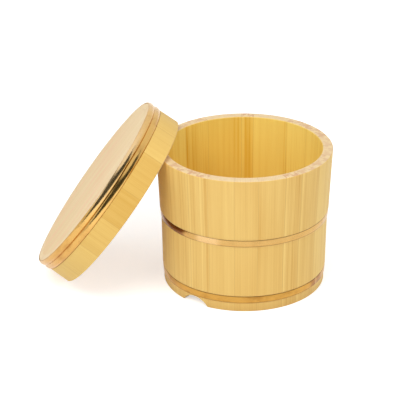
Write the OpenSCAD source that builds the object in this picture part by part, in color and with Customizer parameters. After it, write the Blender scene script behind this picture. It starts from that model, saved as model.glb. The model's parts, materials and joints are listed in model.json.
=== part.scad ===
// Lidded serving tub for cooked rice, coopered from softwood staves and bound with copper hoops.
// The lid is off and leans against the tub, its hollow side towards the rim.
// Millimetres, +Z up. The origin is the centre of the tub's foot, and the lid leans from -X.

/* [Tub] */
// Outer diameter of the tub at its rim
tub_rim_d = 216; // [195:1:250]
// Height of the tub from the ground to its rim
tub_h = 175; // [150:1:200]
// Thickness of the tub's staves at the rim
tub_wall = 12.5; // [11:0.5:15]
// Slope of the outside above the middle hoop, in degrees
upper_taper = 2.6; // [1.4:0.1:3.4]
// Slope of the outside below the middle hoop, in degrees
lower_taper = 0.8; // [0.4:0.1:1.6]
// Slope of the inside, in degrees
inner_taper = 1.7; // [1:0.1:2.2]
// Bevel on both edges of the rim
rim_bevel = 1; // [0.5:0.1:2]

/* [Tub hoops] */
// Height of the shoulder that the middle hoop is driven up to
middle_hoop_top = 96.5; // [70:0.5:125]
// Width of the middle hoop
middle_hoop_w = 8; // [5:0.5:12]
// Height of the shoulder that the lower hoop is driven up to
lower_hoop_top = 20.5; // [19:0.5:26]
// Width of the lower hoop
lower_hoop_w = 8.5; // [5:0.5:9]
// Thickness of the hoops' copper strip
strip_t = 1.1; // [0.8:0.1:1.4]
// How far the hoops' outer faces swell at the middle of their width
strip_crown = 0.3; // [0.1:0.1:0.6]
// Depth of the shoulder over the middle hoop
middle_shoulder = 1.5; // [1.2:0.1:2]
// Depth of the shoulder over the lower hoop
lower_shoulder = 1.3; // [1.1:0.1:2]
// Height of the rounding on the shoulders' edges
shoulder_round = 2; // [1:0.1:3]

/* [Foot] */
// Clear height under the bottom boards
foot_h = 13; // [12:0.5:18]
// Width of each arch cut in the foot, at the ground
arch_w = 37; // [24:1:46]
// Height of each arch cut in the foot
arch_h = 10.5; // [6:0.5:11.5]
// Direction of the first arch, in degrees from +X, with the other one opposite
arch_angle = 236.5; // [200:0.5:270]
// Bevel around the bottom ends of the staves
foot_bevel = 0.8; // [0.4:0.1:1.2]

/* [Bottom] */
// Thickness of the bottom boards
bottom_t = 11; // [9:0.5:14]
// Thickness of the tongue around the bottom boards
bottom_tongue_t = 6; // [4:0.5:8]
// Depth of the groove that holds the tongue
bottom_groove = 3; // [2:0.25:4]

/* [Lid] */
// Height of the lid, from its open edge to its top
lid_h = 44; // [38:1:58]
// Thickness of the lid's staves at the open edge
lid_wall = 10.5; // [8.5:0.5:12]
// Radial clearance between the lid's inside and the tub's rim
lid_fit = 1.6; // [0.8:0.1:2.5]
// Slope of the lid's side, in degrees
lid_taper = 1.5; // [0.5:0.1:2.5]
// Bevel on both sides of the open edge
lid_edge_bevel = 0.8; // [0.4:0.1:1.5]
// Bevel around the lid's top
lid_top_bevel = 0.8; // [0.4:0.1:1.5]
// Thickness of the top boards
lid_board_t = 10; // [9:0.5:12]
// Thickness of the tongue around the top boards
lid_tongue_t = 5; // [3:0.5:6]
// Depth of the top boards' flush rim above the tongue
lid_tongue_drop = 3; // [2:0.5:4]
// Depth of the groove that holds the top boards' tongue
lid_groove = 3; // [2:0.25:4]

/* [Lid hoop] */
// Width of the lid hoop
lid_hoop_w = 17; // [12:0.5:20]
// Depth of the seat that the lid hoop is driven on to
lid_seat = 1.5; // [1:0.1:2]
// Thickness of the lid hoop's copper strip
lid_strip_t = 0.8; // [0.6:0.1:1.2]
// Height of the two beads pressed out of the lid hoop
lid_bead = 1.9; // [1.3:0.1:2.4]

/* [Dowels] */
// Diameter of the bamboo dowels
dowel_d = 3; // [2:0.25:4]
// Length of the bamboo dowels
dowel_l = 20; // [14:1:24]
// Height of the lower row of dowels in the tub
dowel_low = 44; // [36:1:60]
// Height of the upper row of dowels in the tub
dowel_high = 140; // [110:1:160]
// Rise of every second dowel, so that neighbours pass in a narrow stave
dowel_stagger = 7; // [5:0.5:10]
// Height of the dowels in the lid's side, from the open edge
lid_dowel_h = 11; // [8:0.5:14]
// Distance of the boards' dowels from the middle of the boards
board_dowel_x = 45; // [30:1:60]

/* [Leaning lid] */
// Angle around the lid from its highest point to where its edge crosses the rim
lid_meet = 28; // [16:0.5:36]
// How far the lid stands back from touching the rim
lean_gap = 0.8; // [0.7:0.1:1.5]

/* [Hidden] */
$fn = 96;

// Shares of the way round that each stave takes, in millimetres of a full-size rim.
TUB_STAVES = [29, 34, 23, 32, 34, 32, 32, 34, 38, 51, 17, 51, 41, 37, 36, 32, 32, 34, 28, 33];
LID_STAVES = [49, 44, 52, 46, 47, 41, 50, 45, 48, 43, 51, 44, 49, 46, 42, 53];
// Shares of the width across that each board takes.
BOTTOM_BOARDS = [58, 66, 58];
LID_BOARDS = [70, 79, 70];
// Where the first joint of each ring of staves lies, in degrees from +X.
TUB_FIRST_ANGLE = 266.7;
LID_FIRST_ANGLE = 326;

// Clearance of a dowel in its hole, a board in its groove and a hoop on its seat.
DOWEL_FIT = 0.05;
GROOVE_FIT = 0.1;
HOOP_FIT = 0.05;
// Spare length at the ends of a dowel's hole.
DOWEL_END = 0.3;
// Angle between the two arches of the foot.
OPPOSITE_ANGLE = 180;

SAWARA = [0.91, 0.76, 0.46];
SAWARA_DEEP = [0.87, 0.70, 0.38];
SAWARA_PALE = [0.95, 0.85, 0.64];
COPPER = [0.80, 0.50, 0.26];
BAMBOO = [0.85, 0.78, 0.52];

function total(v, n) = n <= 0 ? 0 : v[n - 1] + total(v, n - 1);
function share(v, n) = total(v, n) / total(v, len(v));
function joint(staves, first_angle, i) = first_angle + 360 * share(staves, i);

// Radii of the tub at height z.
tub_r = tub_rim_d / 2;
function upper_r(z) = tub_r - (tub_h - z) * tan(upper_taper);
middle_seat_r = upper_r(middle_hoop_top) - middle_shoulder;
function lower_r(z) = middle_seat_r - (middle_hoop_top - z) * tan(lower_taper);
lower_seat_r = lower_r(lower_hoop_top) - lower_shoulder;
function foot_r(z) = lower_seat_r - (lower_hoop_top - z) * tan(lower_taper);
function inner_r(z) = tub_r - tub_wall - (tub_h - z) * tan(inner_taper);
function outer_r(z) = z > middle_hoop_top ? upper_r(z) : z > lower_hoop_top ? lower_r(z) : foot_r(z);
bottom_tongue_z = foot_h + (bottom_t - bottom_tongue_t) / 2;

// Radii and heights of the lid, measured from the middle of its open edge.
lid_in_r = tub_r + lid_fit;
lid_edge_r = lid_in_r + lid_wall;
lid_hoop_z = lid_h - lid_hoop_w;
lid_seat_r = lid_edge_r - lid_hoop_z * tan(lid_taper) - lid_seat;
lid_tongue_z = lid_h - lid_tongue_drop - lid_tongue_t;

// The lid stands on its lowest outer edge, and its inner edge crosses the tub's rim at two points.
meet_r = lid_in_r + lid_edge_bevel;
meet_up = meet_r * cos(lid_meet);
meet_across = meet_r * sin(lid_meet);
rim_reach = sqrt(pow(tub_r - rim_bevel, 2) - pow(meet_across, 2));
lean_reach = lid_edge_r + meet_up;
lean = asin(tub_h / norm([lean_reach, lid_edge_bevel])) + atan(lid_edge_bevel / lean_reach);
lean_z = lid_edge_r * sin(lean) - lid_edge_bevel * cos(lean);
lean_x = -rim_reach - meet_up * cos(lean) - lean_gap;

TUB_STAVE_NODES = [for (i = [1 : len(TUB_STAVES)]) str("tub_stave_", i)];
LID_STAVE_NODES = [for (i = [1 : len(LID_STAVES)]) str("lid_stave_", i)];
BOTTOM_BOARD_NODES = [for (i = [1 : len(BOTTOM_BOARDS)]) str("bottom_board_", i)];
LID_BOARD_NODES = [for (i = [1 : len(LID_BOARDS)]) str("lid_board_", i)];

// A quarter round under a shoulder, from its seat out to the wall above.
function shoulder_edge(seat_r, wall_r, z) = [
    for (a = [0 : 30 : 90]) [wall_r - (wall_r - seat_r) * (1 - sin(a)), z + shoulder_round * (1 - cos(a))]
];

// Half section of the tub's wall.
module tub_wall_section() {
    polygon(concat(
        [[inner_r(0) + foot_bevel, 0], [foot_r(0) - foot_bevel, 0], [foot_r(foot_bevel), foot_bevel]],
        shoulder_edge(lower_seat_r, lower_r(lower_hoop_top + shoulder_round), lower_hoop_top),
        shoulder_edge(middle_seat_r, upper_r(middle_hoop_top + shoulder_round), middle_hoop_top),
        [
            [upper_r(tub_h - rim_bevel), tub_h - rim_bevel],
            [tub_r - rim_bevel, tub_h],
            [inner_r(tub_h) + rim_bevel, tub_h],
            [inner_r(tub_h - rim_bevel), tub_h - rim_bevel],
            [inner_r(bottom_tongue_z + bottom_tongue_t), bottom_tongue_z + bottom_tongue_t],
            [inner_r(bottom_tongue_z) + bottom_groove, bottom_tongue_z + bottom_tongue_t],
            [inner_r(bottom_tongue_z) + bottom_groove, bottom_tongue_z],
            [inner_r(bottom_tongue_z), bottom_tongue_z],
            [inner_r(foot_bevel), foot_bevel]
        ]
    ));
}

// Half section of the bottom, which fills the tub and reaches into the groove.
module bottom_section() {
    low_r = inner_r(foot_h) - GROOVE_FIT;
    tongue_r = inner_r(bottom_tongue_z) + bottom_groove - GROOVE_FIT;
    tongue_low = bottom_tongue_z + GROOVE_FIT;
    tongue_high = bottom_tongue_z + bottom_tongue_t - GROOVE_FIT;
    high_r = inner_r(tongue_high) - GROOVE_FIT;
    polygon([
        [0, foot_h], [low_r, foot_h], [low_r, tongue_low], [tongue_r, tongue_low],
        [tongue_r, tongue_high], [high_r, tongue_high], [high_r, foot_h + bottom_t], [0, foot_h + bottom_t]
    ]);
}

// Half section of the lid's side.
module lid_side_section() {
    polygon([
        [lid_in_r + lid_edge_bevel, 0],
        [lid_edge_r - lid_edge_bevel, 0],
        [lid_edge_r, lid_edge_bevel],
        [lid_seat_r + lid_seat, lid_hoop_z],
        [lid_seat_r, lid_hoop_z],
        [lid_seat_r, lid_h - lid_top_bevel],
        [lid_seat_r - lid_top_bevel, lid_h],
        [lid_in_r, lid_h],
        [lid_in_r, lid_tongue_z + lid_tongue_t],
        [lid_in_r + lid_groove, lid_tongue_z + lid_tongue_t],
        [lid_in_r + lid_groove, lid_tongue_z],
        [lid_in_r, lid_tongue_z],
        [lid_in_r, lid_edge_bevel]
    ]);
}

// Half section of the lid's top, flush with the ends of its staves.
module lid_top_section() {
    board_r = lid_in_r - GROOVE_FIT;
    tongue_r = lid_in_r + lid_groove - GROOVE_FIT;
    tongue_low = lid_tongue_z + GROOVE_FIT;
    tongue_high = lid_tongue_z + lid_tongue_t - GROOVE_FIT;
    polygon([
        [0, lid_h - lid_board_t], [board_r, lid_h - lid_board_t], [board_r, tongue_low], [tongue_r, tongue_low],
        [tongue_r, tongue_high], [board_r, tongue_high], [board_r, lid_h], [0, lid_h]
    ]);
}

// One stave: the stretch of a ring between two joints.
module stave_blank(staves, first_angle, i) {
    rotate([0, 0, joint(staves, first_angle, i)])
        rotate_extrude(angle = 360 * (share(staves, i + 1) - share(staves, i)))
            children();
}

// One board: the strip of a round panel between two joints, with the grain along X.
module board_blank(boards, i, panel_d, panel_z, panel_t) {
    intersection() {
        rotate_extrude() children();
        translate([-panel_d, panel_d * (share(boards, i) - 0.5), panel_z])
            cube([2 * panel_d, panel_d * (share(boards, i + 1) - share(boards, i)), panel_t]);
    }
}

module dowel(d, l) {
    rotate([90, 0, 0]) cylinder(d = d, h = l, center = true);
}

// The dowels of one joint between staves, or their holes when they are made larger.
module tub_joint_dowels(i, d, l) {
    rise = (i % 2) * dowel_stagger;
    rotate([0, 0, joint(TUB_STAVES, TUB_FIRST_ANGLE, i)])
        for (z = [dowel_low + rise, dowel_high + rise])
            translate([(inner_r(z) + outer_r(z)) / 2, 0, z]) dowel(d, l);
}

module lid_joint_dowels(i, d, l) {
    rise = (i % 2) * dowel_stagger;
    rotate([0, 0, joint(LID_STAVES, LID_FIRST_ANGLE, i)])
        translate([lid_in_r + lid_wall / 2, 0, lid_dowel_h + rise]) dowel(d, l);
}

module board_joint_dowels(boards, i, panel_d, z, d, l) {
    for (x = [-board_dowel_x, board_dowel_x])
        translate([x, panel_d * (share(boards, i) - 0.5), z]) dowel(d, l);
}

module dowel_hole_size(d = dowel_d + 2 * DOWEL_FIT, l = dowel_l + 2 * DOWEL_END) {
    $hole_d = d;
    $hole_l = l;
    children();
}

// Two arches through the foot, which let air and water out from under the bottom.
module foot_arches() {
    arch_r = (arch_w * arch_w / 4 + arch_h * arch_h) / (2 * arch_h);
    for (angle = [arch_angle, arch_angle + OPPOSITE_ANGLE])
        rotate([0, 0, angle])
            translate([0, 0, arch_h - arch_r])
                rotate([0, 90, 0]) cylinder(r = arch_r, h = tub_r);
}

module tub_stave(i) {
    color(i % 3 == 0 ? SAWARA_DEEP : SAWARA)
        dowel_hole_size()
            difference() {
                stave_blank(TUB_STAVES, TUB_FIRST_ANGLE, i) tub_wall_section();
                foot_arches();
                tub_joint_dowels(i, $hole_d, $hole_l);
                tub_joint_dowels(i + 1, $hole_d, $hole_l);
            }
}

module tub_stave_dowels() {
    color(BAMBOO)
        for (i = [0 : len(TUB_STAVES) - 1]) tub_joint_dowels(i, dowel_d, dowel_l);
}

bottom_d = 2 * (inner_r(bottom_tongue_z) + bottom_groove);
bottom_dowel_z = bottom_tongue_z + bottom_tongue_t / 2;

module bottom_board(i) {
    color(i % 2 == 0 ? SAWARA : SAWARA_DEEP)
        dowel_hole_size()
            difference() {
                board_blank(BOTTOM_BOARDS, i, bottom_d, foot_h, bottom_t) bottom_section();
                for (j = [max(i, 1) : min(i + 1, len(BOTTOM_BOARDS) - 1)])
                    board_joint_dowels(BOTTOM_BOARDS, j, bottom_d, bottom_dowel_z, $hole_d, $hole_l);
            }
}

module bottom_dowels() {
    color(BAMBOO)
        for (j = [1 : len(BOTTOM_BOARDS) - 1])
            board_joint_dowels(BOTTOM_BOARDS, j, bottom_d, bottom_dowel_z, dowel_d, dowel_l);
}

// A hoop of crowned strip on the sloping seat under a shoulder.
module tub_hoop(seat_r, top, width) {
    slope = tan(lower_taper);
    color(COPPER)
        rotate_extrude()
            polygon(concat(
                [[seat_r + HOOP_FIT, top], [seat_r - width * slope + HOOP_FIT, top - width]],
                [
                    for (u = [0 : 0.125 : 1])
                        [
                            seat_r - width * (1 - u) * slope + strip_t + strip_crown * (4 * u * (1 - u) - 1),
                            top - width * (1 - u)
                        ]
                ]
            ));
}

module middle_hoop() {
    tub_hoop(middle_seat_r, middle_hoop_top, middle_hoop_w);
}

module lower_hoop() {
    tub_hoop(lower_seat_r, lower_hoop_top, lower_hoop_w);
}

// Stands the lid on the ground and leans it on the rim.
module leaning() {
    translate([lean_x, 0, lean_z]) rotate([0, -lean, 0]) children();
}

module lid_stave(i) {
    color(i % 3 == 1 ? SAWARA_DEEP : SAWARA)
        leaning()
            dowel_hole_size()
                difference() {
                    stave_blank(LID_STAVES, LID_FIRST_ANGLE, i) lid_side_section();
                    lid_joint_dowels(i, $hole_d, $hole_l);
                    lid_joint_dowels(i + 1, $hole_d, $hole_l);
                }
}

module lid_stave_dowels() {
    color(BAMBOO)
        leaning()
            for (i = [0 : len(LID_STAVES) - 1]) lid_joint_dowels(i, dowel_d, dowel_l);
}

lid_panel_d = 2 * (lid_in_r + lid_groove);
lid_board_dowel_z = lid_h - lid_board_t / 2;

module lid_board(i) {
    color(SAWARA_PALE)
        leaning()
            dowel_hole_size()
                difference() {
                    board_blank(LID_BOARDS, i, lid_panel_d, lid_h - lid_board_t, lid_board_t) lid_top_section();
                    for (j = [max(i, 1) : min(i + 1, len(LID_BOARDS) - 1)])
                        board_joint_dowels(LID_BOARDS, j, lid_panel_d, lid_board_dowel_z, $hole_d, $hole_l);
                }
}

module lid_board_dowels() {
    color(BAMBOO)
        leaning()
            for (j = [1 : len(LID_BOARDS) - 1])
                board_joint_dowels(LID_BOARDS, j, lid_panel_d, lid_board_dowel_z, dowel_d, dowel_l);
}

// One side of a bead in section: the part of a round profile that stands outside the seat.
module bead_profile(bead_r, bead_out_r, z) {
    intersection() {
        translate([bead_out_r - bead_r, z]) circle(r = bead_r);
        translate([lid_seat_r + HOOP_FIT, z - lid_hoop_w / 4]) square([bead_r, lid_hoop_w / 2]);
    }
}

// A wide hoop of strip with two round beads pressed out of it side by side.
module lid_hoop() {
    in_r = lid_seat_r + HOOP_FIT;
    out_r = in_r + lid_strip_t;
    bead_r = (pow(lid_hoop_w / 4, 2) + pow(lid_bead, 2)) / (2 * lid_bead);
    bead_z = [lid_hoop_z + lid_hoop_w / 4, lid_h - lid_hoop_w / 4];
    color(COPPER)
        leaning()
            rotate_extrude()
                difference() {
                    union() {
                        translate([in_r, lid_hoop_z]) square([lid_strip_t, lid_hoop_w]);
                        for (z = bead_z) bead_profile(bead_r, out_r + lid_bead, z);
                    }
                    for (z = bead_z) bead_profile(bead_r - lid_strip_t, in_r + lid_bead, z);
                }
}

for (i = [0 : len(TUB_STAVES) - 1]) tub_stave(i);
for (i = [0 : len(BOTTOM_BOARDS) - 1]) bottom_board(i);
middle_hoop();
lower_hoop();
tub_stave_dowels();
bottom_dowels();
for (i = [0 : len(LID_STAVES) - 1]) lid_stave(i);
for (i = [0 : len(LID_BOARDS) - 1]) lid_board(i);
lid_hoop();
lid_stave_dowels();
lid_board_dowels();
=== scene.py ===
"""Finishes the lidded rice tub in softwood, copper and bamboo, and sets it in a plain studio."""

import json
import math
import random
from typing import NamedTuple

import bmesh
import bpy
from bpy.props import FloatProperty, FloatVectorProperty, PointerProperty
from mathutils import Matrix, Vector


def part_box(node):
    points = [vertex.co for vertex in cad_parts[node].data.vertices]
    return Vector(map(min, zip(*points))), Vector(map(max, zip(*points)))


bl_info = {
    "name": "Lidded rice tub",
    "version": (1, 0, 0),
    "blender": (4, 5, 0),
    "location": "View3D > Sidebar > Rice tub",
    "description": "Finishes the packed rice tub in wood and copper, and lights it in a studio",
    "category": "Object",
}

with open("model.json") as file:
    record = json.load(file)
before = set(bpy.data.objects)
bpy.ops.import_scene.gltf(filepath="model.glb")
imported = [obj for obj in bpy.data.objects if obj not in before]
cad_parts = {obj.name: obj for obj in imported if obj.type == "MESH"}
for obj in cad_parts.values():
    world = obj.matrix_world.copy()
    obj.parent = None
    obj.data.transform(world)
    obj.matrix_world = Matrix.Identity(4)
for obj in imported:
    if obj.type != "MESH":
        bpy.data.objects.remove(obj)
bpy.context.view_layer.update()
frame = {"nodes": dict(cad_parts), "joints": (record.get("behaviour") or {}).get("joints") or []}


def nodes_called(stem):
    """The names of the CAD nodes that are numbered after this stem, in order."""
    endings = [name.removeprefix(stem) for name in frame["nodes"] if name.startswith(stem)]
    return [stem + ending for ending in sorted(filter(str.isdigit, endings), key=int)]


TUB_STAVES = nodes_called("tub_stave_")
BOTTOM_BOARDS = nodes_called("bottom_board_")
LID_STAVES = nodes_called("lid_stave_")
LID_BOARDS = nodes_called("lid_board_")
DOWELS = ["tub_stave_dowels", "bottom_dowels", "lid_stave_dowels", "lid_board_dowels"]


def lid_place():
    """The lid's own frame: the middle of its hoop, with Z along its axis and X up its slope."""
    low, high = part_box("lid_hoop")
    axis = Vector(frame["joints"][0]["axis"]).normalized()
    slope = Vector((0, 1, 0)).cross(axis)
    turn = Matrix((slope, (0, 1, 0), axis)).transposed().to_4x4()
    return Matrix.Translation((Vector(low) + Vector(high)) / 2) @ turn


TUB_PLACE = Matrix.Identity(4)
LID_PLACE = lid_place()
# How lively a stave's grain is, and its shade from pale, -1, to deep, 1, or None for any shade.
# The shades are partly each stave's own tone and partly painted light: the tub's left side under
# sheen, and the tub's front and the lid's side where the lamps fall brightest are deeper, as
# painted shade.
# the lid, its inside and the lid's low end are paler, the tub's right edge is paler as a painted
USUAL_TUB_STAVE = (0.5, None)
USUAL_LID_STAVE = (0.3, None)
STAVE_TONE_AND_PAINTED_LIGHT = {
    "tub_stave_1": (0.22, 0.6),
    "tub_stave_2": (0.26, 0.4),
    "tub_stave_3": (0.8, 0.6),
    "tub_stave_4": (0.6, -0.1),
    "tub_stave_5": (0.6, -1.0),
    "tub_stave_6": (0.5, -1.4),
    "tub_stave_8": (0.7, -1.4),
    "tub_stave_9": (0.7, -1.4),
    "tub_stave_10": (0.2, -0.9),
    "tub_stave_11": (0.8, 0.8),
    "tub_stave_12": (0.25, 1.2),
    "tub_stave_13": (0.6, 0.5),
    "tub_stave_14": (0.6, -1.3),
    "tub_stave_17": (0.35, -1.3),
    "tub_stave_18": (0.7, -0.9),
    "tub_stave_19": (0.8, -0.8),
    "tub_stave_20": (0.28, 0.0),
    "lid_stave_1": (0.22, -1.0),
    "lid_stave_2": (0.3, -1.2),
    "lid_stave_12": (0.3, -1.6),
    "lid_stave_13": (0.3, -1.5),
    "lid_stave_14": (0.3, 0.3),
    "lid_stave_15": (0.35, 1.5),
    "lid_stave_16": (0.28, 1.5),
}
# Single streaks: place across the stave, -1 to 1, half width in degrees, and how much darker.
STAVE_STREAKS = {
    "tub_stave_2": ((-0.87, 1.2, 0.12),),
    "tub_stave_3": ((-0.85, 0.7, -0.3), (-0.4, 0.9, 0.15), (0.23, 0.7, 0.3), (0.6, 0.8, 0.15)),
    "tub_stave_4": ((-0.85, 0.8, -0.25), (0.3, 0.9, 0.12), (0.7, 0.7, 0.2)),
    "tub_stave_5": ((-0.7, 0.8, 0.18),),
    "tub_stave_9": ((0.95, 0.9, 0.5), (0.76, 0.8, -0.3), (0.45, 0.8, 0.2), (-0.89, 1.0, 0.4)),
    "tub_stave_10": ((-0.9, 0.8, 0.3),),
    "tub_stave_11": ((0.33, 1.2, 0.28), (-0.4, 1.0, 0.2)),
    "tub_stave_12": ((-0.81, 0.8, 0.28), (-0.59, 0.9, 0.22), (0.97, 0.7, 0.3)),
    "tub_stave_13": ((0.34, 0.9, 0.3), (0.06, 0.7, 0.18), (0.89, 0.9, 0.3)),
    "tub_stave_18": ((0.2, 0.8, 0.22), (0.48, 0.6, 0.2), (0.75, 0.6, 0.2)),
    "tub_stave_19": ((0.32, 0.7, -0.4), (0.8, 1.2, 0.35), (-0.7, 0.6, 0.2), (-0.35, 0.6, 0.15)),
    "lid_stave_16": ((0.9, 0.9, -0.25),),
}
# Turns a panel's frame so that Z runs along its boards, Y across them and X up through them.
ALONG_BOARDS = Matrix(((0, 0, 1), (0, -1, 0), (1, 0, 0))).to_4x4()
# How strongly painted shade darkens the tub's foot next to the floor, and how rosy the lid's top is
# in patches.
TUB_FOOT_SHADE = 0.22
LID_BLUSH = 0.75
# A log widens by this much for each metre of its length.
LOG_TAPER = 0.002
# Points of a stave's end lie this close to its height.
SAME_HEIGHT = 0.0002
# The end grain fades out between these two distances from a stave's foot or top.
END_FADE = (0.0002, 0.0008)

# The stage, in metres.
FLOOR_RADIUS = 6.0
FLOOR_WHITE = (0.84, 0.84, 0.84, 1.0)
CARD_DISTANCE = 2.6
CARD_STEPS = 24
CARD_BLACK = (0.09, 0.09, 0.07, 1.0)
KEY_DISTANCE = 1.8
KEY_WIDTH = 0.9
FILL_DISTANCE = 2.0
FILL_WIDTH = 1.2
VIEW_REACH = 20


def local_points(node, place):
    """A CAD node's points in the frame of a place."""
    to_local = place.inverted()
    return [to_local @ vertex.co for vertex in frame["nodes"][node].data.vertices]


def extent(values):
    """The lowest and the highest of some values."""
    values = list(values)
    return min(values), max(values)


def middle(values):
    """Half way between the lowest and the highest of some values."""
    return sum(extent(values)) / 2


class Socket:
    """A node's output, on which arithmetic adds Math nodes."""

    def __init__(self, nodes, output):
        self.nodes = nodes
        self.output = output

    def __add__(self, other):
        return self.nodes.math("ADD", self, other)

    def __sub__(self, other):
        return self.nodes.math("SUBTRACT", self, other)

    def __rsub__(self, other):
        return self.nodes.math("SUBTRACT", other, self)

    def __mul__(self, other):
        return self.nodes.math("MULTIPLY", self, other)

    def __truediv__(self, other):
        return self.nodes.math("DIVIDE", self, other)

    __radd__ = __add__
    __rmul__ = __mul__


class Nodes:
    """A node tree that grows from expressions."""

    def __init__(self, tree):
        self.tree = tree

    def node(self, kind, settings, inputs, output=0):
        """Adds a node, gives it its settings, then sets or links its inputs."""
        node = self.tree.nodes.new(kind)
        for name, value in settings.items():
            setattr(node, name, value)
        for key, value in inputs.items():
            self.feed(node.inputs[key], value)
        return Socket(self, node.outputs[output])

    def feed(self, target, value):
        if isinstance(value, Socket):
            self.tree.links.new(value.output, target)
        else:
            target.default_value = value

    def math(self, operation, *values):
        return self.node("ShaderNodeMath", {"operation": operation}, dict(enumerate(values)))

    def mix(self, factor, first, second):
        """A blend of two colours."""
        inputs = {0: factor, 6: first, 7: second}
        return self.node("ShaderNodeMix", {"data_type": "RGBA"}, inputs, output=2)

    def step(self, value, low, high):
        """A smooth rise from 0 at low to 1 at high."""
        inputs = {"Value": value, "From Min": low, "From Max": high}
        return self.node("ShaderNodeMapRange", {"interpolation_type": "SMOOTHSTEP"}, inputs)

    def stripe(self, value, centre, half_width):
        """1 at the centre, falling smoothly to 0 at the edges of a stripe."""
        return 1 - self.step(self.math("ABSOLUTE", value - centre), half_width * 0.4, half_width)

    def noise(self, x, y, z, detail=2.0, rough=0.5):
        """Noise between 0 and 1, from coordinates that are already scaled."""
        vector = self.node("ShaderNodeCombineXYZ", {}, {0: x, 1: y, 2: z})
        inputs = {"Vector": vector, "Scale": 1.0, "Detail": detail, "Roughness": rough}
        return self.node("ShaderNodeTexNoise", {"noise_dimensions": "3D"}, inputs)

    def seen(self):
        """1 on the rays that show the white studio, and 0 on those that carry its light."""
        camera, glossy, clear = (
            self.node("ShaderNodeLightPath", {}, {}, output=f"Is {ray} Ray")
            for ray in ("Camera", "Glossy", "Transmission")
        )
        return self.math("MAXIMUM", self.math("MAXIMUM", camera, glossy), clear)


class Finish(Nodes):
    """A material with a Principled surface."""

    def __init__(self, name, **constants):
        self.material = bpy.data.materials.new(name)
        self.material.use_nodes = True
        super().__init__(self.material.node_tree)
        self.surface = self.tree.nodes["Principled BSDF"]
        for socket, value in constants.items():
            self.surface.inputs[socket.replace("_", " ").title()].default_value = value

    def paint(self, name, value):
        self.feed(self.surface.inputs[name], value)

    def axes(self, place):
        """The X, Y and Z of object coordinates in the frame of a place."""
        inputs = {
            "Vector": self.node("ShaderNodeTexCoord", {}, {}, output="Object"),
            "Location": place.translation,
            "Rotation": place.to_euler(),
        }
        local = self.node("ShaderNodeMapping", {"vector_type": "TEXTURE"}, inputs)
        split = self.node("ShaderNodeSeparateXYZ", {}, {"Vector": local})
        return [Socket(self, output) for output in split.output.node.outputs]

    def distance(self, x, y):
        return self.math("SQRT", x * x + y * y)

    def bump(self, height, distance):
        """A height of 0 to 1 as surface relief, where 1 stands this far out."""
        inputs = {"Height": height, "Distance": distance}
        self.paint("Normal", self.node("ShaderNodeBump", {}, inputs))


class Timber:
    """How one piece was cut from the log, how lively its grain is, and its shade and fading."""

    def __init__(self, name, figure, shade=None, flat_sawn=False, fade=0.0):
        draw = random.Random(name)
        lean = draw.uniform(50, 80) if flat_sawn else draw.uniform(-28, 28)
        side = draw.choice((0, 180))
        self.pith_turn = math.radians(90 + lean + side)
        self.pith_distance = draw.uniform(0.09, 0.22)
        self.ring = draw.uniform(0.8, 1.45)
        own_shade = draw.uniform(-0.7, 0.7)
        self.shade = own_shade if shade is None else shade
        self.shift = draw.uniform(0, 50)
        self.figure = figure
        self.fade = fade

    def pith(self, centre_x):
        """The centre of the log's rings, in the piece's own frame."""
        x = centre_x + self.pith_distance * math.cos(self.pith_turn)
        return x, self.pith_distance * math.sin(self.pith_turn)


def light(channel):
    """One channel of an sRGB colour, from 0 to 255, as linear light."""
    value = channel / 255
    return value / 12.92 if value <= 0.04045 else ((value + 0.055) / 1.055) ** 2.4


def linear(*srgb):
    """An sRGB colour, given from 0 to 255, as linear light with full alpha."""
    return [light(channel) for channel in srgb] + [1.0]


END_FLECK = linear(208, 148, 106)
JOINT_SHADE = linear(158, 104, 44)
ROSY_WOOD = linear(242, 199, 150)
# What tarnish, and a painted dark reflection on the lid hoop's low side, leave of each channel of
# the copper's colour.
TARNISH_AND_DARK_REFLECTION = (0.62, 0.5, 0.42, 1.0)
# Paler copper: rubbed wear, and on the lid hoop's top bead a painted highlight too.
RUBBED_AND_HIGHLIT_COPPER = linear(246, 212, 162)
EDGE_PATINA = linear(104, 56, 24)
# Dark red-brown: heat stain, and on the tub's hoops a painted dark reflection too.
HEAT_STAIN_AND_REFLECTION = linear(122, 62, 46)
# Pale braze, and on the tub's hoops a painted highlight too.
BRAZE_AND_HIGHLIGHT = linear(226, 190, 136)
# The soft edge of the dark patch, partly heat stain and partly painted dark reflection, and how far
# it wavers, in degrees round the hoop.
STAIN_AND_REFLECTION_FADE = 5
STAIN_AND_REFLECTION_WAVER = 4
PALE_BAMBOO = linear(222, 204, 150)
DEEP_BAMBOO = linear(188, 160, 96)


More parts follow.
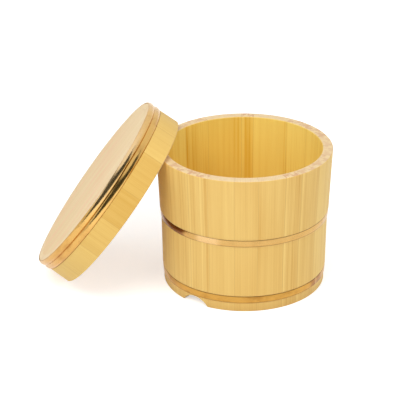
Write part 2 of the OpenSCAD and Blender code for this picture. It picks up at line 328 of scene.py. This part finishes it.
class Wood(Finish):
    """Solid softwood, whose rings and fibres run along the Z of its place.

    Its noise has a scale in waves a metre across the grain, and a far lower one along it. Its depth
    is how deep the tone is, from earlywood, 0, to latewood, 1.
    """

    def __init__(self, name, place, centre_x, timber):
        super().__init__(name)
        self.grain = bpy.context.scene.rice_tub_grain
        self.figure = timber.figure
        self.x, self.y, self.z = self.axes(place)
        x, y, z = self.x, self.y, self.z + timber.shift
        self.cloud = self.noise(x * 14, y * 14, z * 6, detail=1.0) - 0.5
        self.fibre = self.noise(x * 1500, y * 1500, z * 28, detail=3.0, rough=0.65)
        streak = self.noise(x * 110, y * 190, z * 2.2, detail=3.0, rough=0.6) - 0.5

        pith_x, pith_y = timber.pith(centre_x)
        wander = self.noise(x * 18, y * 18, z * 2.2) - 0.5
        off_pith = self.distance(x - pith_x, y - pith_y)
        radius = off_pith + wander * self.grain.ring_wander + z * LOG_TAPER
        crowding = self.noise(radius * 110, timber.shift, 0.0, detail=3.0)
        ring = radius / (self.grain.ring_spacing * timber.ring)
        phase = self.math("FRACT", ring + crowding * 2.2)
        self.latewood = self.step(phase, 0.3, 0.9) - self.step(phase, 0.92, 1.0)

        rings = self.latewood * (self.grain.ring_contrast * (0.2 + 0.8 * self.figure))
        streaks = streak * (0.25 + 1.1 * self.figure)
        fibres = (self.fibre - 0.5) * 0.14
        shade = 0.26 + 0.14 * timber.shade
        self.depth = rings + streaks + self.cloud * 0.35 + fibres + self.z * timber.fade + shade

    def tone(self, early, late):
        """The colour between earlywood and latewood."""
        factor = self.math("MAXIMUM", self.math("MINIMUM", self.depth, 1.0), 0.0)
        return self.mix(factor, early, late)

    def end_grain(self, colour):
        """The cut ends of the fibres, flecked where the grain is lively."""
        x, y, z = self.x, self.y, self.z
        fine = self.noise(x * 900, y * 900, z * 900, detail=3.0, rough=0.7)
        coarse = self.noise(x * 130, y * 130, z * 130, detail=3.0, rough=0.6)
        pores = self.step(fine, 0.5, 0.75)
        flecks = self.step(coarse, 0.46, 0.62)
        fleck_depth = 0.06 + 0.9 * self.figure * self.figure
        depth = self.latewood * 0.12 + pores * 0.12 + flecks * fleck_depth
        return self.mix(self.math("MINIMUM", depth, 1.0), colour, END_FLECK)

    def complete(self, colour, off_joint):
        """Paints the colour, with a shade close to the joints, and planes the surface."""
        joint = 1 - self.step(off_joint, 0.0, self.grain.joint_line)
        self.paint("Base Color", self.mix(joint * self.grain.joint_depth, colour, JOINT_SHADE))
        self.paint("Roughness", 0.5 + self.fibre * 0.22 - self.latewood * 0.08)
        self.bump(self.fibre * 0.6 + self.latewood * 0.4, self.grain.fibre_depth)
        return self.material


class StaveShape(NamedTuple):
    """A stave's own frame, with X out through the stave's middle, and its measures there."""

    place: Matrix
    half_angle: float
    middle_x: float
    low_z: float
    high_z: float
    foot_r: float
    top_r: float


def measure_stave(node, ring_place):
    """Finds the frame and the measures of one stave of a ring."""
    angles = [math.atan2(point.y, point.x) for point in local_points(node, ring_place)]
    first = angles[0]
    low, high = extent((angle - first + math.pi) % (2 * math.pi) - math.pi for angle in angles)
    place = ring_place @ Matrix.Rotation(first + (low + high) / 2, 4, "Z")
    points = local_points(node, place)
    low_z, high_z = extent(point.z for point in points)
    foot_r, top_r = (
        min(math.hypot(point.x, point.y) for point in points if abs(point.z - end_z) < SAME_HEIGHT)
        for end_z in (low_z, high_z)
    )
    middle_x = middle(point.x for point in points)
    return StaveShape(place, (high - low) / 2, middle_x, low_z, high_z, foot_r, top_r)


def stave_finish(node, ring_place, outer, inner, end, timber, foot_shade=0.0):
    """Wood for one stave, in early and late colours outside and inside, and end grain."""
    stave = measure_stave(node, ring_place)
    wood = Wood(node + "_wood", stave.place, stave.middle_x, timber)
    turn = wood.math("ARCTAN2", wood.y, wood.x)
    for across, half_width, change in STAVE_STREAKS.get(node, ()):
        streak = wood.stripe(turn, across * stave.half_angle, math.radians(half_width))
        strength = change * wood.grain.streak_strength
        wood.depth = wood.depth + streak * (wood.cloud * 3.5 + 1) * strength

    radius = wood.distance(wood.x, wood.y)
    widening = (stave.top_r - stave.foot_r) / (stave.high_z - stave.low_z)
    inside_r = stave.foot_r + (wood.z - stave.low_z) * widening
    inside = 1 - wood.step(radius - inside_r, -0.0006, -0.0001)
    colour = wood.mix(inside, wood.tone(*outer), wood.tone(*inner))

    near, far = END_FADE
    above_foot = wood.step(wood.z, stave.low_z + near, stave.low_z + far)
    at_top = wood.step(wood.z, stave.high_z - far, stave.high_z - near)
    colour = wood.mix(1 - (above_foot - at_top), colour, wood.end_grain(end))
    # Painted shade: each stave darkens towards its foot, next to the floor.
    foot = 1 - wood.step(wood.z + wood.cloud * 0.008, stave.low_z, stave.low_z + 0.014)
    colour = wood.mix(foot * foot_shade, colour, JOINT_SHADE)
    return wood.complete(colour, (stave.half_angle - wood.math("ABSOLUTE", turn)) * radius)


def board_finish(node, panel_place, early, late, timber, blush=0.0):
    """Wood for one board of the lid's top or the tub's bottom, with the grain along it."""
    place = panel_place @ ALONG_BOARDS
    points = local_points(node, place)
    low_y, high_y = extent(point.y for point in points)
    place = place @ Matrix.Translation((0, (low_y + high_y) / 2, 0))
    wood = Wood(node + "_wood", place, middle(point.x for point in points), timber)
    patches = wood.step(wood.noise(wood.x * 30, wood.y * 45, wood.z * 14, detail=3.0), 0.42, 0.68)
    rosy = patches * blush * (1 - wood.step(wood.z, 0.0, 0.08) * 0.7)
    colour = wood.mix(rosy, wood.tone(early, late), ROSY_WOOD)
    return wood.complete(colour, (high_y - low_y) / 2 - wood.math("ABSOLUTE", wood.y))


class Hoop(NamedTuple):
    """How a hoop's copper was drawn, brazed, tarnished and brightened by rubbing, with painted
    highlights and dark reflections, and its turns in degrees.
    """

    node: str
    place: Matrix
    roughness: float
    ripple: float
    patina: float
    edge_patina: float
    seam_and_highlight_turn: float
    seam_and_highlight_reach: float
    stain_and_reflection_turn: float
    stain_and_reflection_reach: float
    stain_and_reflection: float
    low_tarnish_and_dark_reflection: float = 0.0
    rubbed_and_highlight: float = 0.0


# Painted light on the hoops: the middle hoop's dark patch is a painted dark reflection of the
# shaded
# hoop's duller low side and paler top bead are partly painted dark reflection and painted
# highlight.
# lid, and the lower hoop's partly one; the seams of both are also painted highlights; and the lid
HOOPS = {
    "middle_copper": Hoop(
        "middle_hoop", TUB_PLACE, roughness=0.2, ripple=0.0001, patina=0.25, edge_patina=0.5,
        seam_and_highlight_turn=-112, seam_and_highlight_reach=11, stain_and_reflection_turn=-150, stain_and_reflection_reach=23, stain_and_reflection=0.7),
    "lower_copper": Hoop(
        "lower_hoop", TUB_PLACE, roughness=0.26, ripple=0.0002, patina=0.6, edge_patina=0.55,
        seam_and_highlight_turn=-26, seam_and_highlight_reach=0.7, stain_and_reflection_turn=-25, stain_and_reflection_reach=12, stain_and_reflection=0.5),
    "lid_copper": Hoop(
        "lid_hoop", LID_PLACE, roughness=0.17, ripple=0.00045, patina=0.35, edge_patina=0.12,
        seam_and_highlight_turn=100, seam_and_highlight_reach=3, stain_and_reflection_turn=100, stain_and_reflection_reach=12, stain_and_reflection=0.4,
        low_tarnish_and_dark_reflection=0.45, rubbed_and_highlight=0.85),
}


def copper(hoop, colour):
    """Drawn strip: lines, tarnished patches and dark edges, with brazing, a dark patch, and painted
    highlights and dark reflections.
    """
    finish = Finish(hoop.node + "_copper", metallic=1.0)
    low_z, high_z = extent(point.z for point in local_points(hoop.node, hoop.place))
    x, y, z = finish.axes(hoop.place)
    turn = finish.math("ARCTAN2", y, x)
    sine, cosine = finish.math("SINE", turn), finish.math("COSINE", turn)
    lines = finish.noise(sine * 6, cosine * 6, (z + finish.distance(x, y)) * 5200)
    patches = finish.noise(x * 55, y * 55, z * 90, detail=4.0, rough=0.6)
    waves = finish.noise(x * 70, y * 70, z * 160, detail=1.0)

    # The lid hoop's low side is duller: tarnish, and a painted dark reflection too.
    low_side = 1 - finish.step(x, -0.05, 0.02)
    tarnish_and_dark_reflection = finish.step(patches, 0.44, 0.74) * hoop.patina + low_side * hoop.low_tarnish_and_dark_reflection
    # The lid hoop's top bead near its top end is paler: rubbed wear, and a painted highlight too.
    top_bead = finish.step(z, (low_z + high_z) / 2, high_z - 0.003)
    rubbed_and_highlight = top_bead * finish.stripe(x, 0.07, 0.06)
    edge = 1 - finish.step(z, low_z, low_z + 0.0011) + finish.step(z, high_z - 0.0009, high_z)
    # A dark patch round the hoop: heat stain, and on the tub's hoops a painted dark reflection too.
    off_stain_and_reflection = finish.math("ABSOLUTE", turn - math.radians(hoop.stain_and_reflection_turn)) * math.degrees(1)
    off_stain_and_reflection = off_stain_and_reflection + waves * STAIN_AND_REFLECTION_WAVER
    stain_and_reflection = 1 - finish.step(off_stain_and_reflection, hoop.stain_and_reflection_reach - STAIN_AND_REFLECTION_FADE, hoop.stain_and_reflection_reach)
    # The brazed join, and on the tub's hoops a painted highlight too.
    seam_and_highlight = finish.stripe(turn, math.radians(hoop.seam_and_highlight_turn), math.radians(hoop.seam_and_highlight_reach))

    dull = [channel * kept for channel, kept in zip(colour, TARNISH_AND_DARK_REFLECTION)]
    wear_and_painted_light = finish.mix(tarnish_and_dark_reflection, colour, dull)
    wear_and_painted_light = finish.mix(rubbed_and_highlight * hoop.rubbed_and_highlight, wear_and_painted_light, RUBBED_AND_HIGHLIT_COPPER)
    wear_and_painted_light = finish.mix(stain_and_reflection * hoop.stain_and_reflection, wear_and_painted_light, HEAT_STAIN_AND_REFLECTION)
    wear_and_painted_light = finish.mix(edge * hoop.edge_patina, wear_and_painted_light, EDGE_PATINA)
    finish.paint("Base Color", finish.mix(seam_and_highlight * 0.7, wear_and_painted_light, BRAZE_AND_HIGHLIGHT))
    finish.paint("Roughness", hoop.roughness + lines * 0.08 + tarnish_and_dark_reflection * 0.15 + edge * 0.15)
    finish.bump(waves + lines * 0.02, hoop.ripple)
    return finish.material


def bamboo(name):
    """Split bamboo, with its straight fibres."""
    finish = Finish(name)
    x, y, z = finish.axes(TUB_PLACE)
    fibre = finish.noise(x * 900, y * 900, z * 900, detail=3.0)
    finish.paint("Base Color", finish.mix(fibre, PALE_BAMBOO, DEEP_BAMBOO))
    finish.paint("Roughness", 0.45 + fibre * 0.2)
    finish.bump(fibre, 0.00008)
    return finish.material


def dress(node, material):
    """Gives a CAD node its finish, on every slot that it has."""
    for slot in frame["nodes"][node].material_slots:
        slot.material = material


def colour_property(name, description, *srgb):
    """A colour that can be changed, with its default as sRGB from 0 to 255."""
    return FloatVectorProperty(
        name=name, description=description, default=linear(*srgb),
        subtype="COLOR", size=4, min=0, max=1)


class RiceTubColours(bpy.types.PropertyGroup):
    """The colours of the wood and the copper."""

    stave_early: colour_property("Stave earlywood", "Pale wood of the tub's staves", 246, 210, 126)
    stave_late: colour_property("Stave latewood", "Darker wood of the tub's staves", 210, 154, 60)
    # The inside's colours are brighter than the outside's: partly the wood's tone, partly painted
    # light lifting the tub's inside.
    inner_early: colour_property("Inner earlywood", "Pale wood of the tub's inside", 255, 228, 124)
    inner_late: colour_property("Inner latewood", "Darker wood of the tub's inside", 228, 176, 46)
    stave_end: colour_property("End grain", "Pale end grain of the staves", 245, 218, 168)
    lid_early: colour_property("Lid earlywood", "Pale wood of the lid's side", 242, 204, 116)
    lid_late: colour_property("Lid latewood", "Darker wood of the lid's side", 208, 154, 50)
    board_early: colour_property("Board earlywood", "Pale wood of the lid's top", 246, 221, 174)
    board_late: colour_property("Board latewood", "Darker wood of the lid's top", 224, 178, 98)
    bottom_early: colour_property("Bottom earlywood", "Pale wood of the bottom", 248, 210, 110)
    bottom_late: colour_property("Bottom latewood", "Darker wood of the bottom", 216, 160, 58)
    middle_copper: colour_property("Middle hoop", "Copper of the tub's middle hoop", 202, 162, 97)
    lower_copper: colour_property("Lower hoop", "Copper of the tub's lower hoop", 198, 152, 75)
    lid_copper: colour_property("Lid hoop", "Copper of the lid's hoop", 222, 178, 103)


class RiceTubGrain(bpy.types.PropertyGroup):
    """The scale and depth of the wood's grain."""

    ring_spacing: FloatProperty(
        name="Ring spacing", description="Usual width of a year's ring",
        default=0.0019, unit="LENGTH", precision=5)
    ring_wander: FloatProperty(
        name="Ring wander", description="How far the rings wander from true",
        default=0.0022, unit="LENGTH", precision=5)
    ring_contrast: FloatProperty(
        name="Ring contrast", description="How dark the latewood is",
        default=0.2, subtype="FACTOR", min=0, max=1)
    streak_strength: FloatProperty(
        name="Streak strength", description="How strong the single streaks are",
        default=0.7, subtype="FACTOR", min=0, max=1)
    fibre_depth: FloatProperty(
        name="Fibre depth", description="Relief of the planed fibres",
        default=0.00007, unit="LENGTH", precision=6)
    joint_line: FloatProperty(
        name="Joint line", description="Width of the shade beside a joint",
        default=0.00045, unit="LENGTH", precision=5)
    joint_depth: FloatProperty(
        name="Joint depth", description="How dark the shade beside a joint is",
        default=0.3, subtype="FACTOR", min=0, max=1)


class RiceTubStage(bpy.types.PropertyGroup):
    """Where the camera stands and how strong the lamps are."""

    camera_turn: FloatProperty(
        name="Camera turn", description="How far the camera stands round from the front",
        default=math.radians(4.73), subtype="ANGLE")
    camera_rise: FloatProperty(
        name="Camera rise", description="How far the camera looks down",
        default=math.radians(24.78), subtype="ANGLE")
    camera_roll: FloatProperty(
        name="Camera roll", description="Tilt of the picture",
        default=math.radians(-0.453), subtype="ANGLE")
    camera_distance: FloatProperty(
        name="Camera distance", description="From the camera to its target",
        default=1.959, unit="LENGTH")
    camera_target: FloatVectorProperty(
        name="Camera target", description="Point in the middle of the picture",
        default=(-0.0545, -0.0040, 0.1024), subtype="TRANSLATION")
    camera_lens: FloatProperty(
        name="Lens", description="Focal length on a 36 mm sensor",
        default=142.3, unit="CAMERA")
    key_power: FloatProperty(
        name="Key light", description="Power of the main soft light",
        default=13, unit="POWER")
    key_turn: FloatProperty(
        name="Key turn", description="How far the key light stands round from the front",
        default=math.radians(-26), subtype="ANGLE")
    key_rise: FloatProperty(
        name="Key rise", description="How high the key light stands",
        default=math.radians(50), subtype="ANGLE")
    fill_power: FloatProperty(
        name="Fill light", description="Power of the side light",
        default=6, unit="POWER")
    fill_turn: FloatProperty(
        name="Fill turn", description="How far the fill light stands round from the front",
        default=math.radians(50), subtype="ANGLE")
    fill_rise: FloatProperty(
        name="Fill rise", description="How high the fill light stands",
        default=math.radians(30), subtype="ANGLE")
    sky: FloatProperty(
        name="Sky", description="Strength of the even light from all round",
        default=0.62, min=0)
    floor_glow: FloatProperty(
        name="Floor glow", description="How far the floor is lifted to white where it is seen",
        default=0.55, min=0)
    card_start: FloatProperty(
        name="Card start", description="Where the dark card in front starts",
        default=math.radians(-45), subtype="ANGLE")
    card_end: FloatProperty(
        name="Card end", description="Where the dark card in front ends",
        default=math.radians(80), subtype="ANGLE")
    strip_start: FloatProperty(
        name="Strip start", description="Where the high strip beside the card starts",
        default=math.radians(-95), subtype="ANGLE")
    strip_foot: FloatProperty(
        name="Strip foot", description="Height of the strip's lower edge",
        default=2.5, unit="LENGTH")
    card_height: FloatProperty(
        name="Card height", description="Height of the dark card",
        default=4.0, unit="LENGTH")


class RiceTubOperator:
    """What every step of the tub has in common."""

    bl_options = {"REGISTER", "UNDO"}

    @property
    def colours(self):
        return bpy.context.scene.rice_tub_colours


class RICETUB_OT_tub_staves(RiceTubOperator, bpy.types.Operator):
    """Give each stave of the tub its own piece of wood"""

    bl_idname = "rice_tub.tub_staves"
    bl_label = "Tub staves"

    def execute(self, context):
        tones = self.colours
        outer = tones.stave_early, tones.stave_late
        inner = tones.inner_early, tones.inner_late
        for node in TUB_STAVES:
            timber = Timber(node, *STAVE_TONE_AND_PAINTED_LIGHT.get(node, USUAL_TUB_STAVE))
            finish = stave_finish(
                node, TUB_PLACE, outer, inner, tones.stave_end, timber, foot_shade=TUB_FOOT_SHADE)
            dress(node, finish)
        return {"FINISHED"}


class RICETUB_OT_bottom(RiceTubOperator, bpy.types.Operator):
    """Give the tub's bottom boards their wood"""

    bl_idname = "rice_tub.bottom"
    bl_label = "Bottom boards"

    def execute(self, context):
        early, late = self.colours.bottom_early, self.colours.bottom_late
        for node in BOTTOM_BOARDS:
            timber = Timber(node, 0.8, flat_sawn=True)
            dress(node, board_finish(node, TUB_PLACE, early, late, timber))
        return {"FINISHED"}


class RICETUB_OT_lid_staves(RiceTubOperator, bpy.types.Operator):
    """Give each stave of the lid its own piece of wood"""

    bl_idname = "rice_tub.lid_staves"
    bl_label = "Lid staves"

    def execute(self, context):
        colours = self.colours.lid_early, self.colours.lid_late
        for node in LID_STAVES:
            timber = Timber(node, *STAVE_TONE_AND_PAINTED_LIGHT.get(node, USUAL_LID_STAVE))
            finish = stave_finish(
                node, LID_PLACE, colours, colours, self.colours.stave_end, timber)
            dress(node, finish)
        return {"FINISHED"}


class RICETUB_OT_lid_boards(RiceTubOperator, bpy.types.Operator):
    """Give the lid's top boards their pale wood"""

    bl_idname = "rice_tub.lid_boards"
    bl_label = "Lid boards"

    def execute(self, context):
        early, late = self.colours.board_early, self.colours.board_late
        for node in LID_BOARDS:
            timber = Timber(node, 0.45, fade=-1.3)
            dress(node, board_finish(node, LID_PLACE, early, late, timber, blush=LID_BLUSH))
        return {"FINISHED"}


class RICETUB_OT_hoops(RiceTubOperator, bpy.types.Operator):
    """Give the hoops their copper"""

    bl_idname = "rice_tub.hoops"
    bl_label = "Copper hoops"

    def execute(self, context):
        for name, hoop in HOOPS.items():
            dress(hoop.node, copper(hoop, getattr(self.colours, name)))
        return {"FINISHED"}


class RICETUB_OT_dowels(RiceTubOperator, bpy.types.Operator):
    """Give the dowels inside the joints their bamboo"""

    bl_idname = "rice_tub.dowels"
    bl_label = "Dowels"

    def execute(self, context):
        material = bamboo("dowel_bamboo")
        for node in DOWELS:
            dress(node, material)
        return {"FINISHED"}


def aim(obj, position, target, roll=0.0):
    """Puts a lamp or the camera in its place, looking at a point."""
    look = Vector(target) - Vector(position)
    turn = look.to_track_quat("-Z", "Y").to_matrix().to_4x4()
    obj.matrix_world = Matrix.Translation(position) @ turn @ Matrix.Rotation(roll, 4, "Z")


def around(target, turn, rise, distance):
    """A point at this distance from the target, turned from the front and raised, in radians."""
    flat = math.cos(rise)
    outward = Vector((flat * math.sin(turn), -flat * math.cos(turn), math.sin(rise)))
    return Vector(target) + distance * outward


def add_object(name, data):
    """Adds an object for a mesh, a lamp or the camera to the scene."""
    obj = bpy.data.objects.new(name, data)
    bpy.context.scene.collection.objects.link(obj)
    return obj


def add_shape(name, shape, material):
    """Adds an object for a finished bmesh, in one material."""
    mesh = bpy.data.meshes.new(name)
    shape.to_mesh(mesh)
    shape.free()
    mesh.materials.append(material)
    return add_object(name, mesh)


class RICETUB_OT_stage(RiceTubOperator, bpy.types.Operator):
    """Lay the floor, and set the camera and the soft lights"""

    bl_idname = "rice_tub.stage"
    bl_label = "Stage"

    def execute(self, context):
        stage = context.scene.rice_tub_stage
        self.floor(stage)
        self.dark_card(stage)
        self.sky(stage)
        self.lamps(stage)
        self.camera(stage)
        context.scene.view_settings.view_transform = "Standard"
        return {"FINISHED"}

    def floor(self, stage):
        """A wide pale floor, lifted to white on the rays that show it."""
        finish = Finish("floor_paper", roughness=0.9, base_color=FLOOR_WHITE)
        finish.paint("Emission Color", finish.mix(finish.seen(), (0, 0, 0, 1), (1, 1, 1, 1)))
        finish.surface.inputs["Emission Strength"].default_value = stage.floor_glow
        shape = bmesh.new()
        bmesh.ops.create_circle(shape, cap_ends=True, segments=64, radius=FLOOR_RADIUS)
        floor = add_shape("floor", shape, finish.material)

    def dark_card(self, stage):
        """A dark curved card far in front and a strip beside it, seen only in the copper."""
        shape = bmesh.new()
        panels = (
            (stage.card_start, stage.card_end, 0.0),
            (stage.strip_start, stage.card_start, stage.strip_foot),
        )
        for start, end, foot in panels:
            low = around((0, 0, foot), start, 0.0, CARD_DISTANCE)
            ends = [shape.verts.new(low), shape.verts.new((low.x, low.y, stage.card_height))]
            edge = shape.edges.new(ends)
            bmesh.ops.spin(
                shape, geom=[*ends, edge], cent=(0, 0, 0), axis=(0, 0, 1), angle=end - start,
                steps=CARD_STEPS)
        finish = Finish("card_black", roughness=0.9, base_color=CARD_BLACK)
        card = add_shape("dark_card", shape, finish.material)
        for ray in ("camera", "diffuse", "transmission", "volume_scatter", "shadow"):
            setattr(card, "visible_" + ray, False)

    def sky(self, stage):
        """Even light from all round, and plain white where the sky is seen."""
        world = bpy.data.worlds.new("studio")
        world.use_nodes = True
        nodes = Nodes(world.node_tree)
        background = nodes.tree.nodes["Background"]
        background.inputs["Color"].default_value = (1, 1, 1, 1)
        nodes.feed(background.inputs["Strength"], stage.sky + nodes.seen() * (1 - stage.sky))
        bpy.context.scene.world = world

    def lamps(self, stage):
        """Two soft lamps, which the copper doesn't mirror."""
        target = stage.camera_target
        key_spot = around(target, stage.key_turn, stage.key_rise, KEY_DISTANCE)
        fill_spot = around(target, stage.fill_turn, stage.fill_rise, FILL_DISTANCE)
        lights = (
            ("key_light", key_spot, KEY_WIDTH, stage.key_power),
            ("fill_light", fill_spot, FILL_WIDTH, stage.fill_power),
        )
        for name, spot, width, power in lights:
            light = bpy.data.lights.new(name, "AREA")
            light.shape = "DISK"
            light.size = width
            light.energy = power
            lamp = add_object(name, light)
            lamp.visible_glossy = False
            aim(lamp, spot, target)

    def camera(self, stage):
        """The camera, in the photograph's place."""
        data = bpy.data.cameras.new("camera")
        data.sensor_width = 36
        data.lens = stage.camera_lens
        data.clip_end = VIEW_REACH
        camera = add_object("camera", data)
        target = stage.camera_target
        spot = around(target, stage.camera_turn, stage.camera_rise, stage.camera_distance)
        aim(camera, spot, target, stage.camera_roll)
        bpy.context.scene.camera = camera


STEPS = (
    RICETUB_OT_stage,
    RICETUB_OT_tub_staves,
    RICETUB_OT_bottom,
    RICETUB_OT_lid_staves,
    RICETUB_OT_lid_boards,
    RICETUB_OT_hoops,
    RICETUB_OT_dowels,
)


class RICETUB_PT_panel(bpy.types.Panel):
    """The steps of the rice tub, in order"""

    bl_label = "Rice tub"
    bl_idname = "RICETUB_PT_panel"
    bl_space_type = "VIEW_3D"
    bl_region_type = "UI"
    bl_category = "Rice tub"

    def draw(self, context):
        for step in STEPS:
            self.layout.operator(step.bl_idname)


GROUPS = {
    "rice_tub_colours": RiceTubColours,
    "rice_tub_grain": RiceTubGrain,
    "rice_tub_stage": RiceTubStage,
}
CLASSES = (*GROUPS.values(), *STEPS, RICETUB_PT_panel)


def register():
    for cls in CLASSES:
        bpy.utils.register_class(cls)
    for name, group in GROUPS.items():
        setattr(bpy.types.Scene, name, PointerProperty(type=group))


def unregister():
    for name in GROUPS:
        delattr(bpy.types.Scene, name)
    for cls in reversed(CLASSES):
        bpy.utils.unregister_class(cls)


def main():
    register()
    bpy.ops.rice_tub.stage()
    bpy.ops.rice_tub.tub_staves()
    bpy.ops.rice_tub.bottom()
    bpy.ops.rice_tub.lid_staves()
    bpy.ops.rice_tub.lid_boards()
    bpy.ops.rice_tub.hoops()
    bpy.ops.rice_tub.dowels()


if __name__ == "__main__":
    main()
